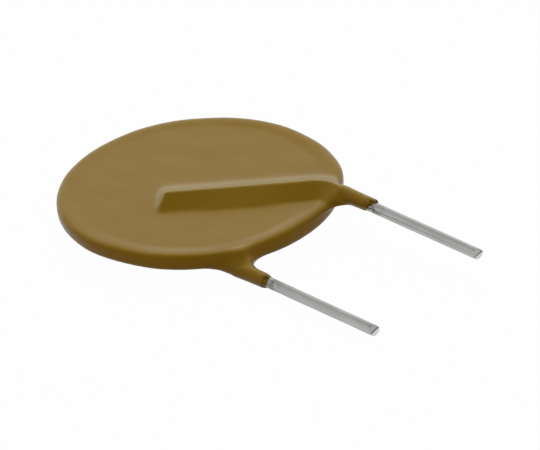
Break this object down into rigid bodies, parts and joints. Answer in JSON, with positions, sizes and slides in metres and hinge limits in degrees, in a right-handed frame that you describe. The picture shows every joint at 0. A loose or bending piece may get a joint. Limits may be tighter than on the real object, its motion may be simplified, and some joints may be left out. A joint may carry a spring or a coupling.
{
  "type": "resettable fuse",
  "caption": "Round, flat polymeric resettable fuse in ochre epoxy, its slanted lead ridges raised under the coating, with parallel radial tinned leads.",
  "frame": {"origin": "centre of the overall box in plan, at the underside of the lower ridge, where the part lies on a surface", "axes": "+Z is the disc's axis, upwards; -Y is the way the two free leads point; X runs across the leads"},
  "size_m": [0.0204, 0.0334, 0.0028],
  "materials": {
    "epoxy": "semi-gloss dipped epoxy, ochre",
    "polymer": "carbon-filled polymer, matt black",
    "foil": "nickel-plated foil, dull",
    "tinned_wire": "tinned, drawn, slightly dull",
    "solder": "solder, satin"
  },
  "bodies": {
    "root": {"epoxy_coating": "epoxy", "polymer_disc": "polymer", "top_electrode": "foil", "bottom_electrode": "foil", "top_lead": "tinned_wire", "bottom_lead": "tinned_wire", "top_solder": "solder", "bottom_solder": "solder"}
  },
  "joints": []
}
